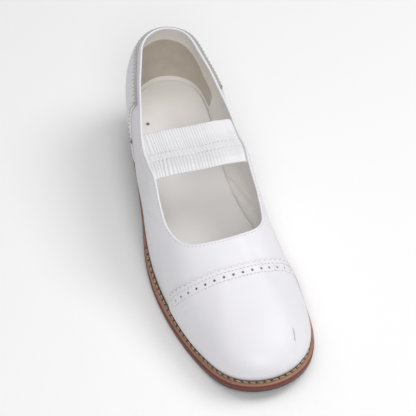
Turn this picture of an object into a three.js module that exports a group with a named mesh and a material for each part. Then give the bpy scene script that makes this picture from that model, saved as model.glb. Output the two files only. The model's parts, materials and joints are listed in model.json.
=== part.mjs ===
import * as THREE from "three";

// A low-heeled strap shoe for the right foot, in smooth leather on a welted leather sole. It stands on
// z = 0 in millimetres, with its toe toward -Y, its outer side toward -X and its inner side toward +X.
//
// Shapes are worked out along the foot. "along" runs from the back of the heel to the tip of the sole,
// "across" is positive on the inner side, and z is the height above the floor. The line where upper and
// sole meet is called the feather line.

// Driving sizes
const OUTSOLE = 4.2;
const WELT = 2.5;
const GAP = 0.3;
const WALL = 2;
const TOP_PIECE = 6;
const LIFTS = 3;
const HEEL_BREAST = 60;
const SOCK_RISE = 1.8;
const OVERLAY = 0.9;
const OVERLAY_GAP = 0.6;
const OVERLAY_FOOT = -0.93;
const STRAP_THICKNESS = 1.6;
const MIDDLE = { along: 125.6, across: -1.4 };

// Half widths of the feather line on its two sides
const HEEL_END = { along: 2.6, across: -0.3 };
const OUTLINE = [
  { along: 12, inner: 19.5, outer: -18.6 },
  { along: 35, inner: 25.5, outer: -27.8 },
  { along: 65, inner: 23.4, outer: -31.8 },
  { along: 100, inner: 23.5, outer: -36.7 },
  { along: 135, inner: 31.2, outer: -41.7 },
  { along: 165, inner: 36.5, outer: -41.2 },
  { along: 195, inner: 37.6, outer: -37.0 },
  { along: 222, inner: 34.3, outer: -28.9 },
  { along: 241, inner: 23.0, outer: -18.1 },
];
const TOE_END = { along: 249.1, across: 2.9 };

// Heights along the foot. ground: underside of the outsole. ridge: height at which the closed form over
// the last would end. spine: sideways place of that ridge.
const PROFILE = [
  { along: 0, ground: 24.5, ridge: 99, spine: -1 },
  { along: 30, ground: 23.3, ridge: 99, spine: 0.5 },
  { along: 60, ground: 21.0, ridge: 101, spine: 1.5 },
  { along: 85, ground: 15.5, ridge: 102, spine: 1 },
  { along: 110, ground: 7.5, ridge: 97, spine: 0.5 },
  { along: 135, ground: 2.0, ridge: 79, spine: 0.5 },
  { along: 155, ground: 0.0, ridge: 62, spine: -1 },
  { along: 180, ground: 0.0, ridge: 49.5, spine: -1 },
  { along: 205, ground: 0.0, ridge: 43.8, spine: -1 },
  { along: 222, ground: 1.3, ridge: 42.3, spine: -1 },
  { along: 240, ground: 4.3, ridge: 41.8, spine: -1 },
  { along: 258, ground: 8.3, ridge: 41.3, spine: -1 },
];
const SPINE = { from: 34, to: 150, softness: 6 };

// Sections of the last on its inner and outer side. belly: height of the widest line above the feather
// line. bulge: how far that line stands out past the feather line. full: how square the section is.
const SECTIONS = [
  { along: 0, bellyIn: 17.0, bellyOut: 17.0, bulgeIn: 3.4, bulgeOut: 3.2, fullIn: 2.1, fullOut: 1.9 },
  { along: 30, bellyIn: 16.2, bellyOut: 16.2, bulgeIn: 2.6, bulgeOut: 0.6, fullIn: 2.1, fullOut: 1.95 },
  { along: 60, bellyIn: 17.0, bellyOut: 15.7, bulgeIn: 6.6, bulgeOut: 1.5, fullIn: 1.95, fullOut: 2.4 },
  { along: 85, bellyIn: 14.6, bellyOut: 15.2, bulgeIn: 8.4, bulgeOut: 2.4, fullIn: 2.5, fullOut: 2.8 },
  { along: 110, bellyIn: 10.8, bellyOut: 14.2, bulgeIn: 7.9, bulgeOut: 0.8, fullIn: 3.0, fullOut: 3.2 },
  { along: 135, bellyIn: 6.6, bellyOut: 12.2, bulgeIn: 2.8, bulgeOut: 0.8, fullIn: 3.5, fullOut: 3.1 },
  { along: 155, bellyIn: 4.2, bellyOut: 10.6, bulgeIn: 0.5, bulgeOut: 0.6, fullIn: 3.4, fullOut: 3.0 },
  { along: 180, bellyIn: 3.8, bellyOut: 9.8, bulgeIn: 0.4, bulgeOut: 0.7, fullIn: 2.7, fullOut: 2.8 },
  { along: 205, bellyIn: 3.8, bellyOut: 9.0, bulgeIn: 0.4, bulgeOut: 0.9, fullIn: 2.15, fullOut: 2.7 },
  { along: 222, bellyIn: 4.4, bellyOut: 8.6, bulgeIn: 0.6, bulgeOut: 1.0, fullIn: 1.95, fullOut: 2.7 },
  { along: 240, bellyIn: 6.5, bellyOut: 8.2, bulgeIn: 0.9, bulgeOut: 1.0, fullIn: 2.2, fullOut: 2.8 },
  { along: 258, bellyIn: 8.0, bellyOut: 8.0, bulgeIn: 1.0, bulgeOut: 1.0, fullIn: 2.5, fullOut: 2.8 },
];

// How far welt and outsole stand out past the feather line
const SOLE_EDGE = [
  { along: 0, inner: 1.8, outer: 1.8 },
  { along: 60, inner: 1.8, outer: 1.8 },
  { along: 100, inner: 1.6, outer: 1.6 },
  { along: 135, inner: 4.2, outer: 3.2 },
  { along: 165, inner: 5.6, outer: 3.9 },
  { along: 200, inner: 3.7, outer: 3.4 },
  { along: 258, inner: 4.2, outer: 4.4 },
];

// Height of the topline above the floor, and the throat that closes it in front
const TOPLINE = [
  { along: 0, height: 90 },
  { along: 30, height: 86 },
  { along: 50, height: 82.3 },
  { along: 70, height: 77.9 },
  { along: 85, height: 73.0 },
  { along: 100, height: 68.3 },
  { along: 118, height: 69.6 },
  { along: 135, height: 60.5 },
  { along: 150, height: 51.0 },
  { along: 175, height: 44.1 },
];
const THROAT = { along: 175.6, cornerIn: 8.1, cornerOut: 7.6 };

// The toe cap begins on this line, which runs across the vamp and bends back at both sides
const CAP_LINE = [
  { across: -43, along: 172.5 },
  { across: -40, along: 179.0 },
  { across: -36, along: 182.3 },
  { across: -30, along: 184.9 },
  { across: -20, along: 186.2 },
  { across: -6, along: 186.5 },
  { across: 6, along: 186.0 },
  { across: 20, along: 183.9 },
  { across: 30, along: 182.0 },
  { across: 35, along: 180.0 },
  { across: 38, along: 177.0 },
  { across: 41, along: 172.5 },
];

// The counter's top edge runs this far under the topline, and its front edge bends down to the sole
const COUNTER = { under: 4.6, front: 58, corner: 3 };

// Places of the strap's edges on the topline, and the length sewn inside the quarters
const STRAP = { rearOut: 85.8, rearIn: 88.2, frontOut: 122.2, frontIn: 123.6, tail: 12, sag: 1.5 };

// The value of one column of a table on a smooth curve that doesn't overshoot its rows
function read(table, column, at, by = "along") {
  const end = table.length - 1;
  if (at <= table[0][by]) return table[0][column];
  if (at >= table[end][by]) return table[end][column];
  let row = 0;
  while (table[row + 1][by] < at) row += 1;
  const step = (k) => table[k + 1][by] - table[k][by];
  const slope = (k) => (table[k + 1][column] - table[k][column]) / step(k);
  const tangent = (k) => {
    if (k === 0) return slope(0);
    if (k === end) return slope(end - 1);
    if (slope(k - 1) * slope(k) <= 0) return 0;
    const before = 2 * step(k) + step(k - 1);
    const after = step(k) + 2 * step(k - 1);
    return (before + after) / (before / slope(k - 1) + after / slope(k));
  };
  const width = step(row);
  const t = (at - table[row][by]) / width;
  const from = table[row][column];
  const to = table[row + 1][column];
  return from * (1 + 2 * t) * (1 - t) ** 2 + to * t * t * (3 - 2 * t)
    + width * (tangent(row) * t * (1 - t) ** 2 - tangent(row + 1) * t * t * (1 - t));
}

// A closed cubic spline through points, as a function of t from 0 to 1
function closedCurve(points) {
  const count = points.length;
  const next = (i) => (i + 1) % count;
  const before = (i) => (i + count - 1) % count;
  const chord = points.map((p, i) => p.distanceTo(points[next(i)]));
  const total = chord.reduce((sum, c) => sum + c, 0);
  const tangents = points.map(() => new THREE.Vector2());
  for (let sweep = 0; sweep < 60; sweep += 1) {
    for (let i = 0; i < count; i += 1) {
      const h0 = chord[before(i)];
      const h1 = chord[i];
      const pull = points[i].clone().sub(points[before(i)]).multiplyScalar(3 / h0 ** 2)
        .add(points[next(i)].clone().sub(points[i]).multiplyScalar(3 / h1 ** 2))
        .addScaledVector(tangents[before(i)], -1 / h0)
        .addScaledVector(tangents[next(i)], -1 / h1);
      tangents[i] = pull.divideScalar(2 / h0 + 2 / h1);
    }
  }
  return (t) => {
    let distance = (t - Math.floor(t)) * total;
    let i = 0;
    while (i < count - 1 && distance > chord[i]) {
      distance -= chord[i];
      i += 1;
    }
    const h = chord[i];
    const s = distance / h;
    return new THREE.Vector2()
      .addScaledVector(points[i], (1 + 2 * s) * (1 - s) ** 2)
      .addScaledVector(points[next(i)], s * s * (3 - 2 * s))
      .addScaledVector(tangents[i], h * s * (1 - s) ** 2)
      .addScaledVector(tangents[next(i)], -h * s * s * (1 - s));
  };
}

// The feather line, from the heel along the inner side to the toe and back along the outer side
const featherPoints = [
  new THREE.Vector2(HEEL_END.along, HEEL_END.across),
  ...OUTLINE.map((row) => new THREE.Vector2(row.along, row.inner)),
  new THREE.Vector2(TOE_END.along, TOE_END.across),
  ...OUTLINE.toReversed().map((row) => new THREE.Vector2(row.along, row.outer)),
];
const feather = closedCurve(featherPoints);

// Outward direction of the feather line in plan
function outward(t) {
  const ahead = feather(t + 1e-4);
  const behind = feather(t - 1e-4);
  return new THREE.Vector2(behind.y - ahead.y, ahead.x - behind.x).normalize();
}

// A value at t from a column for the inner side and one for the outer side. It goes smoothly from one to
// the other round the toe and round the heel.
function bothSides(table, inner, outer, t) {
  const along = feather(t).x;
  const share = (1 + outward(t).y) / 2;
  return share * read(table, inner, along) + (1 - share) * read(table, outer, along);
}

function edge(t, out) {
  return feather(t).addScaledVector(outward(t), out);
}

const groundAt = (along) => read(PROFILE, "ground", along);
const outsoleTop = (along) => groundAt(along) + OUTSOLE;
const weltTop = (along) => outsoleTop(along) + GAP + WELT;

// Where the meridian that starts at t ends, on the spine of the form
function spineAt(t) {
  const k = SPINE.softness;
  const soft = (value) => k * Math.log1p(Math.exp(value / k));
  const along = SPINE.from + soft(SPINE.to - soft(SPINE.to - feather(t).x) - SPINE.from);
  return new THREE.Vector2(along, read(PROFILE, "spine", along));
}

// The outside of the upper as a closed form over the last. rise is -1 at the feather line, 0 on the
// widest line, and grows to a quarter turn at the ridge.
function form(t, rise) {
  const start = feather(t);
  const out = outward(t);
  const bulge = bothSides(SECTIONS, "bulgeIn", "bulgeOut", t);
  const bellyHeight = bothSides(SECTIONS, "bellyIn", "bellyOut", t);
  const base = weltTop(start.x);
  if (rise < 0) {
    const plan = start.addScaledVector(out, bulge * (1 - rise * rise));
    return new THREE.Vector3(plan.x, plan.y, base + bellyHeight * (1 + rise));
  }
  const belly = start.clone().addScaledVector(out, bulge);
  const full = bothSides(SECTIONS, "fullIn", "fullOut", t);
  const plan = spineAt(t).lerp(belly, Math.cos(rise) ** (2 / full));
  const low = base + bellyHeight;
  return new THREE.Vector3(plan.x, plan.y, low + (read(PROFILE, "ridge", plan.x) - low) * Math.sin(rise));
}

// A point of the form moved out along its normal, which lies level at the feather line
function skin(t, rise, out) {
  const a = form(t - 1e-4, rise);
  const b = form(t + 1e-4, rise);
  const c = form(t, rise - 1e-3);
  const d = form(t, rise + 1e-3);
  const normal = d.sub(c).cross(b.sub(a));
  normal.z *= Math.min(1, (rise + 1) / 0.3);
  return form(t, rise).addScaledVector(normal.normalize(), out);
}

// Positive inside the opening that the topline borders
function opening(point) {
  if (point.x >= THROAT.along) return -1;
  const inner = 1 / (1 + Math.exp(-point.y / 6));
  const corner = inner * THROAT.cornerIn + (1 - inner) * THROAT.cornerOut;
  return (point.z - read(TOPLINE, "height", point.x)) * (THROAT.along - point.x) - corner ** 2;
}

// The first rise along a meridian at which a test turns positive
function firstRise(t, from, test) {
  const step = 0.02;
  let low = from;
  while (low < 1.55 && test(form(t, low + step)) <= 0) low += step;
  let high = low + step;
  for (let i = 0; i < 20; i += 1) {
    const middle = (low + high) / 2;
    if (test(form(t, middle)) <= 0) low = middle;
    else high = middle;
  }
  return low;
}

const toplineRise = (t) => firstRise(t, 0, opening);

// Parameters of columns that are evenly spread, counting both the feather line and the topline
function spreadColumns(count) {
  const samples = 720;
  const lengths = [0];
  let before = null;
  for (let i = 0; i <= samples; i += 1) {
    const t = i / samples;
    const now = [form(t, -1), form(t, toplineRise(t))];
    if (before) lengths.push(lengths[i - 1] + now[0].distanceTo(before[0]) + now[1].distanceTo(before[1]));
    before = now;
  }
  const columns = [];
  let place = 0;
  for (let i = 0; i < count; i += 1) {
    const wanted = lengths[samples] * i / count;
    while (lengths[place + 1] < wanted) place += 1;
    columns.push((place + (wanted - lengths[place]) / (lengths[place + 1] - lengths[place])) / samples);
  }
  return columns;
}

// Places on the form between two pairs of t and rise. They lie closer together where the form bends:
// each radian of bend counts as BEND_WEIGHT millimetres of length.
const BEND_WEIGHT = 16;
function evenPath(from, to, count) {
  const samples = 60;
  const trial = range(samples, 0, 1).map((k) => ({
    t: from.t + (to.t - from.t) * k,
    rise: from.rise + (to.rise - from.rise) * k,
  }));
  const points = trial.map(({ t, rise }) => form(t, rise));
  const lengths = [0];
  for (let i = 1; i <= samples; i += 1) {
    const step = points[i].distanceTo(points[i - 1]);
    const ahead = points[Math.min(i + 1, samples)].clone().sub(points[i]);
    const behind = points[i].clone().sub(points[i - 1]);
    const turn = i < samples && step > 1e-6 ? ahead.angleTo(behind) : 0;
    lengths.push(lengths[i - 1] + step + BEND_WEIGHT * turn);
  }
  return range(count, 0, lengths[samples]).map((wanted) => {
    let place = 0;
    while (place < samples - 1 && lengths[place + 1] < wanted) place += 1;
    const part = (wanted - lengths[place]) / (lengths[place + 1] - lengths[place]);
    return {
      t: trial[place].t + part * (trial[place + 1].t - trial[place].t),
      rise: trial[place].rise + part * (trial[place + 1].rise - trial[place].rise),
    };
  });
}

function range(count, from, to) {
  return Array.from({ length: count + 1 }, (_, i) => from + (to - from) * i / count);
}

// A closed solid through equal loops of points. Each loop goes up its outer side and back down its inner
// side. A ring joins its last loop to its first, and any other solid is closed at both ends.
function loft(loops, ring) {
  const positions = [];
  const known = new Map();
  const number = (p) => {
    const place = [p.y - MIDDLE.across, MIDDLE.along - p.x, p.z];
    const key = place.map((value) => value.toFixed(4)).join(" ");
    if (!known.has(key)) {
      known.set(key, positions.length / 3);
      positions.push(...place);
    }
    return known.get(key);
  };
  const numbers = loops.map((loop) => loop.map(number));
  const size = loops[0].length;
  const faces = [];
  const face = (a, b, c) => {
    if (a !== b && b !== c && c !== a) faces.push(a, b, c);
  };
  const last = ring ? loops.length : loops.length - 1;
  for (let i = 0; i < last; i += 1) {
    const here = numbers[i];
    const there = numbers[(i + 1) % loops.length];
    for (let k = 0; k < size; k += 1) {
      const up = (k + 1) % size;
      face(here[k], here[up], there[up]);
      face(here[k], there[up], there[k]);
    }
  }
  if (!ring) {
    const first = numbers[0];
    const final = numbers[numbers.length - 1];
    for (let k = 0; k < size / 2 - 1; k += 1) {
      const far = size - 1 - k;
      face(first[k + 1], first[k], first[far]);
      face(first[k + 1], first[far], first[far - 1]);
      face(final[k], final[k + 1], final[far - 1]);
      face(final[k], final[far - 1], final[far]);
    }
  }
  const geometry = new THREE.BufferGeometry();
  geometry.setAttribute("position", new THREE.Float32BufferAttribute(positions, 3));
  geometry.setIndex(faces);
  geometry.computeVertexNormals();
  return geometry;
}

// A flat piece between two heights, made of rungs that cross from the inner to the outer side
function ladder({ rungs, steps, until, top, bottom, outTop, outBottom }) {
  const side = (sign) => {
    if (until === undefined) return sign > 0 ? toeParameter : toeParameter - 1;
    let low = 0;
    let high = sign * toeParameter;
    for (let i = 0; i < 40; i += 1) {
      const middle = (low + high) / 2;
      if (edge(middle, outTop(middle)).x < until) low = middle;
      else high = middle;
    }
    return low;
  };
  const inner = side(1);
  const outer = side(-1);
  const rung = (share, out, height) => {
    const a = edge(inner * share, out(inner * share));
    const b = edge(outer * share, out(outer * share));
    return range(steps, 0, 1).map((k) => {
      const plan = a.clone().lerp(b, k);
      return new THREE.Vector3(plan.x, plan.y, height(plan.x));
    });
  };
  const loops = range(rungs, 0, 1).map((share) => [
    ...rung(share, outTop, top),
    ...rung(share, outBottom, bottom).reverse(),
  ]);
  return loft(loops, false);
}

// The curve's parameter at the toe, where the feather line reaches furthest
const toeParameter = (() => {
  const lengths = featherPoints.map((p, i) => p.distanceTo(featherPoints[(i + 1) % featherPoints.length]));
  const total = lengths.reduce((sum, c) => sum + c, 0);
  return lengths.slice(0, OUTLINE.length + 1).reduce((sum, c) => sum + c, 0) / total;
})();

// A sheet of leather laid over the form, on straight paths from its foot to its rim
function overlay(feet, rims, rows) {
  const loops = feet.map((foot, i) => {
    const path = evenPath(foot, rims[i], rows);
    return [
      ...path.map(({ t, rise }) => skin(t, rise, OVERLAY_GAP + OVERLAY)),
      ...path.toReversed().map(({ t, rise }) => skin(t, rise, OVERLAY_GAP)),
    ];
  });
  return loft(loops, false);
}

const soleEdge = (t) => bothSides(SOLE_EDGE, "inner", "outer", t);

function outsole() {
  return ladder({
    rungs: 50,
    steps: 3,
    top: outsoleTop,
    bottom: groundAt,
    outTop: soleEdge,
    outBottom: (t) => soleEdge(t) - 0.4,
  });
}

// The welt is a strip around the whole feather line, just outside the upper
function welt() {
  const loops = range(99, 0, 0.99).map((t) => {
    const outer = edge(t, soleEdge(t) - 0.2);
    const inner = edge(t, GAP);
    const under = (plan) => new THREE.Vector3(plan.x, plan.y, outsoleTop(plan.x) + GAP);
    const over = (plan) => new THREE.Vector3(plan.x, plan.y, weltTop(plan.x));
    return [under(outer), over(outer), over(inner), under(inner)];
  });
  return loft(loops, true);
}

// One layer of the heel between two heights. The stack narrows a little toward the floor.
function heelLayer(bottom, top) {
  const taper = (height) => (t) => soleEdge(t) - 0.6 - 0.06 * (groundAt(0) - height);
  const topHeight = typeof top === "number" ? top : groundAt(0);
  return ladder({
    rungs: 14,
    steps: 2,
    until: HEEL_BREAST,
    top: typeof top === "number" ? () => top : top,
    bottom: () => bottom,
    outTop: taper(topHeight),
    outBottom: taper(bottom),
  });
}

function insole() {
  return ladder({
    rungs: 44,
    steps: 3,
    top: (along) => weltTop(along) + SOCK_RISE,
    bottom: (along) => outsoleTop(along) + GAP,
    outTop: () => -WALL - GAP,
    outBottom: () => -WALL - GAP,
  });
}

// The upper: one leather wall from the outsole to the topline. Below the feather line it goes straight
// down inside the welt.
function upper() {
  const rows = 10;
  const loops = spreadColumns(110).map((t) => {
    const top = toplineRise(t);
    const path = evenPath({ t, rise: -1 }, { t, rise: top }, rows);
    const side = (out) => {
      const foot = skin(t, -1, out);
      foot.z = outsoleTop(foot.x) + GAP;
      return [foot, ...path.map((place) => skin(t, place.rise, out))];
    };
    return [...side(0), ...side(-WALL).reverse()];
  });
  return loft(loops, true);
}

// The parameter at which the feather line crosses a line, found between two parameters
function crossing(from, to, test) {
  let low = from;
  let high = to;
  for (let i = 0; i < 40; i += 1) {
    const middle = (low + high) / 2;
    if (test(form(middle, -0.7)) < 0) low = middle;
    else high = middle;
  }
  return high;
}

// The toe cap's rim climbs the sides steeply, so it is sampled more closely there and its points are then
// spread evenly along it
function toeCap() {
  const past = (point) => point.x - read(CAP_LINE, "along", point.y, "across");
  const from = crossing(0, toeParameter, past);
  const to = crossing(1, toeParameter, past);
  const samples = 300;
  const rim = range(samples, 0, Math.PI).map((angle) => {
    const t = from + (to - from) * (1 - Math.cos(angle)) / 2;
    return { t, rise: firstRise(t, OVERLAY_FOOT + 0.1, (point) => -past(point)) };
  });
  const points = rim.map(({ t, rise }) => form(t, rise));
  const lengths = [0];
  for (let i = 1; i <= samples; i += 1) lengths.push(lengths[i - 1] + points[i].distanceTo(points[i - 1]));
  const shares = range(44, 0, 1);
  const rims = shares.map((share) => {
    const place = lengths.findLastIndex((length) => length <= share * lengths[samples]);
    return rim[place];
  });
  const feet = shares.map((share) => ({ t: from + (to - from) * share, rise: OVERLAY_FOOT }));
  return overlay(feet, rims, 9);
}

// The counter's front edges go straight up from the feather line and turn back in a rounded corner
function heelCounter() {
  const front = (point) => point.x - COUNTER.front;
  const inner = crossing(0, toeParameter, front);
  const outer = crossing(1, toeParameter, front) - 1;
  const columns = range(34, outer, inner);
  const above = (point) => {
    const inside = Math.max(COUNTER.corner - (COUNTER.front - point.x), 0);
    const drop = COUNTER.corner - Math.sqrt(Math.max(COUNTER.corner ** 2 - inside ** 2, 0));
    return point.z - read(TOPLINE, "height", point.x) + COUNTER.under + drop;
  };
  const feet = columns.map((t) => ({ t, rise: OVERLAY_FOOT }));
  const rims = columns.map((t) => ({ t, rise: firstRise(t, 0, above) }));
  return overlay(feet, rims, 7);
}

// The parameter whose point on the topline lies at a place along the foot
function toplineAt(along, from, to) {
  let low = from;
  let high = to;
  for (let i = 0; i < 30; i += 1) {
    const middle = (low + high) / 2;
    if (form(middle, toplineRise(middle)).x < along) low = middle;
    else high = middle;
  }
  return low;
}

// The elastic strap: a band that comes out of the quarters just under the topline and spans the opening.
// Its tails lie against the inside of the wall.
function strap() {
  const share = range(4, 0, 1);
  const loops = share.map((f) => {
    const ends = [
      toplineAt(STRAP.rearIn + (STRAP.frontIn - STRAP.rearIn) * f, 0.1, 0.34),
      toplineAt(STRAP.rearOut + (STRAP.frontOut - STRAP.rearOut) * f, 0.9, 0.66),
    ];
    const tail = (t, depth) => {
      const top = toplineRise(t);
      const rise = top - depth / form(t, top).distanceTo(form(t, top - 0.1)) * 0.1;
      return skin(t, rise, -WALL - GAP - 0.2 - STRAP_THICKNESS / 2);
    };
    const [inner, outer] = ends;
    const a = tail(inner, 1);
    const b = tail(outer, 1);
    const span = range(12, 0, 1).slice(1, -1).map((k) => {
      const point = a.clone().lerp(b, k);
      point.z += 2.2 * Math.min(1, 6 * k * (1 - k)) - STRAP.sag * 4 * k * (1 - k);
      return point;
    });
    const path = new THREE.CatmullRomCurve3([
      tail(inner, STRAP.tail), tail(inner, STRAP.tail / 2), a, ...span, b,
      tail(outer, STRAP.tail / 2), tail(outer, STRAP.tail),
    ], false, "centripetal");
    const count = 26;
    const flat = new THREE.Vector3(1, 0, 0);
    const side = (sign) => range(count, 0, 1).map((k) => {
      const tangent = path.getTangentAt(k);
      const normal = tangent.clone().cross(flat).normalize();
      return path.getPointAt(k).addScaledVector(normal, sign * STRAP_THICKNESS / 2);
    });
    return [...side(1), ...side(-1).reverse()];
  });
  return loft(loops, false);
}

function leather(color, roughness) {
  return new THREE.MeshStandardMaterial({ color, roughness, side: THREE.DoubleSide });
}
const white = leather(0xe9e7ec, 0.45);
const cream = leather(0xdcd8d0, 0.7);
const tan = leather(0xb48a66, 0.6);
const brown = leather(0x6f4032, 0.5);
const rubber = leather(0x3a2c26, 0.85);
const elastic = leather(0xeeeeee, 0.85);

const group = new THREE.Group();

function add(name, geometry, material) {
  const mesh = new THREE.Mesh(geometry, material);
  mesh.name = name;
  group.add(mesh);
}

add("outsole", outsole(), brown);
add("welt", welt(), tan);
add("heel_top_piece", heelLayer(0, TOP_PIECE), rubber);
const seatUnderside = (along) => groundAt(along) - GAP;
const liftHeight = (seatUnderside(HEEL_BREAST) - TOP_PIECE) / LIFTS;
for (let i = 0; i < LIFTS; i += 1) {
  const bottom = TOP_PIECE + liftHeight * i;
  const top = i === LIFTS - 1 ? seatUnderside : bottom + liftHeight;
  add(`heel_lift_${i + 1}`, heelLayer(bottom, top), brown);
}
add("insole", insole(), cream);
add("upper", upper(), white);
add("toe_cap", toeCap(), white);
add("heel_counter", heelCounter(), white);
add("strap", strap(), elastic);

export default group;
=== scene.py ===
import json
import math

import bmesh
import bpy
import numpy as np
from mathutils import Matrix, Vector

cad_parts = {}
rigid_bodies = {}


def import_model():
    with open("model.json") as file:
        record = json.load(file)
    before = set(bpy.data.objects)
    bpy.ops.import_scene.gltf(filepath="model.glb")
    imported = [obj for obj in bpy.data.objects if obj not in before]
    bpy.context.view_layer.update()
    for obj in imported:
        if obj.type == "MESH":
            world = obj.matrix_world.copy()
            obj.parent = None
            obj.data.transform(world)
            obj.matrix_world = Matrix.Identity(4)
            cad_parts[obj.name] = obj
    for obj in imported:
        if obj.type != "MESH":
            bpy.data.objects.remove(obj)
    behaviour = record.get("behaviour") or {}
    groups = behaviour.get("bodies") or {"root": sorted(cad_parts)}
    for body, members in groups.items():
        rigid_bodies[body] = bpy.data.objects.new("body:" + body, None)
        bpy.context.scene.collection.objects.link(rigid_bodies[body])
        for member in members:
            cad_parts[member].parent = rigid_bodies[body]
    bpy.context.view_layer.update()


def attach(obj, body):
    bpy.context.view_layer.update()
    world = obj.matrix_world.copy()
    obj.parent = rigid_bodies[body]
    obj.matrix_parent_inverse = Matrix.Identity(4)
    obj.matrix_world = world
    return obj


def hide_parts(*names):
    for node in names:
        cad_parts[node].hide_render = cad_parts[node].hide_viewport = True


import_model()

for spare in {"Cube", "Light", "Camera"} & set(bpy.data.objects.keys()):
    bpy.data.objects.remove(bpy.data.objects[spare])

# The shoe is worked out in millimetres along the foot, across it and up, as (along, across, height).
# "along" runs from the back of the heel to the tip of the toe. "across" is positive on the inner side.

# Insole: a leather board with a thin cream sock glued on it. It fills the inside of the feather line,
# where upper and sole meet, and carries the foot.
OUTSOLE_THICKNESS = 4.2
WELT_THICKNESS = 2.5
GAP = 0.3
WALL = 2.0
SOCK_RISE = 1.8
MIDDLE_ALONG, MIDDLE_ACROSS = 125.6, -1.4


def table(names, *rows):
    """Named columns of numbers, one row for each section."""
    return dict(zip(names.split(), np.array(rows, float).T))


OUTLINE = table(
    "along inner outer",
    (12, 19.5, -18.6),
    (35, 25.5, -27.8),
    (65, 23.4, -31.8),
    (100, 23.5, -36.7),
    (135, 31.2, -41.7),
    (165, 36.5, -41.2),
    (195, 37.6, -37.0),
    (222, 34.3, -28.9),
    (241, 23.0, -18.1),
)
HEEL_END = (2.6, -0.3)
TOE_END = (249.1, 2.9)

# ground: underside of the outsole. belly: height of the widest line over the feather line. bulge: how far
# that line stands out. full: how square the section is. ridge and spine: where the closed form would end.
LAST = table(
    "along ground belly_in belly_out bulge_in bulge_out full_in full_out ridge spine",
    (0, 24.5, 17.0, 17.0, 3.4, 3.2, 2.1, 1.9, 99, -1),
    (30, 23.3, 16.2, 16.2, 2.6, 0.6, 2.1, 1.95, 99, 0.5),
    (60, 21.0, 17.0, 15.7, 6.6, 1.5, 1.95, 2.4, 101, 1.5),
    (85, 15.5, 14.6, 15.2, 8.4, 2.4, 2.5, 2.8, 102, 1),
    (110, 7.5, 10.8, 14.2, 7.9, 0.8, 3.0, 3.2, 97, 0.5),
    (135, 2.0, 6.6, 12.2, 2.8, 0.8, 3.5, 3.1, 79, 0.5),
    (155, 0.0, 4.2, 10.6, 0.5, 0.6, 3.4, 3.0, 62, -1),
    (180, 0.0, 3.8, 9.8, 0.4, 0.7, 2.7, 2.8, 49.5, -1),
    (205, 0.0, 3.8, 9.0, 0.4, 0.9, 2.15, 2.7, 43.8, -1),
    (222, 1.3, 4.4, 8.6, 0.6, 1.0, 1.95, 2.7, 42.3, -1),
    (240, 4.3, 6.5, 8.2, 0.9, 1.0, 2.2, 2.8, 41.8, -1),
    (258, 8.3, 8.0, 8.0, 1.0, 1.0, 2.5, 2.8, 41.3, -1),
)


def hermite(start, end, leaving, arriving, k):
    """A cubic span that leaves one value and arrives at another with given slopes, at a share k of it."""
    return (start * (1 + 2 * k) * (1 - k) ** 2 + end * k * k * (3 - 2 * k)
            + leaving * k * (1 - k) ** 2 - arriving * k * k * (1 - k))


def read(rows, column, at, by="along"):
    """One column of a table on a smooth curve that doesn't overshoot its rows."""
    x, y = rows[by], rows[column]
    step = np.diff(x)
    slope = np.diff(y) / step
    before = 2 * step[1:] + step[:-1]
    after = step[1:] + 2 * step[:-1]
    same_way = slope[:-1] * slope[1:] > 0
    safe = np.where(same_way, slope[:-1], 1), np.where(same_way, slope[1:], 1)
    inside = np.where(same_way, (before + after) / (before / safe[0] + after / safe[1]), 0)
    tangent = np.concatenate([slope[:1], inside, slope[-1:]])
    at = np.clip(at, x[0], x[-1])
    i = np.clip(np.searchsorted(x, at, side="right") - 1, 0, len(step) - 1)
    return hermite(y[i], y[i + 1], step[i] * tangent[i], step[i] * tangent[i + 1], (at - x[i]) / step[i])


def closed_curve(points):
    """A closed cubic spline through points, as a function of t from 0 to 1."""
    count = len(points)
    following = np.roll(points, -1, 0)
    ahead = np.linalg.norm(following - points, axis=1)
    behind = np.roll(ahead, 1)
    pull = (3 * (points - np.roll(points, 1, 0)) / behind[:, None] ** 2
            + 3 * (following - points) / ahead[:, None] ** 2)
    system = np.diag(2 / behind + 2 / ahead)
    for i in range(count):
        system[i, i - 1] += 1 / behind[i]
        system[i, (i + 1) % count] += 1 / ahead[i]
    tangents = np.linalg.solve(system, pull)
    starts = np.concatenate([[0], np.cumsum(ahead)])

    def at(t):
        distance = np.mod(t, 1) * starts[-1]
        i = np.clip(np.searchsorted(starts, distance, side="right") - 1, 0, count - 1)
        j = (i + 1) % count
        h = ahead[i][..., None]
        k = (distance - starts[i])[..., None] / h
        return hermite(points[i], points[j], h * tangents[i], h * tangents[j], k)

    return at, starts / starts[-1]


inner_side = np.stack([OUTLINE["along"], OUTLINE["inner"]], 1)
outer_side = np.stack([OUTLINE["along"], OUTLINE["outer"]], 1)[::-1]
feather, feather_stops = closed_curve(np.concatenate([[HEEL_END], inner_side, [TOE_END], outer_side]))
TOE = feather_stops[len(inner_side) + 1]


def unit(way):
    return way / np.linalg.norm(way, axis=-1, keepdims=True)


def outward(t):
    """Sideways direction out of the shoe along the feather line, in plan."""
    ahead, behind = feather(t + 1e-4), feather(t - 1e-4)
    return unit(np.stack([behind[..., 1] - ahead[..., 1], ahead[..., 0] - behind[..., 0]], -1))


def both_sides(rows, inner, outer, t):
    """A value at t from a column for each side. It goes smoothly from one to the other round the ends."""
    along = feather(t)[..., 0]
    return mix(read(rows, outer, along), read(rows, inner, along), (1 + outward(t)[..., 1]) / 2)


def edge(t, out):
    return feather(t) + outward(t) * np.asarray(out)[..., None]


def ground_at(along):
    return read(LAST, "ground", along)


def outsole_top(along):
    return ground_at(along) + OUTSOLE_THICKNESS


def welt_top(along):
    return outsole_top(along) + GAP + WELT_THICKNESS


def mix(a, b, k):
    return a + (b - a) * k


def eased(count):
    """Shares from 0 to 1 that lie closer together at both ends."""
    return (1 - np.cos(np.linspace(0, math.pi, count))) / 2


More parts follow.
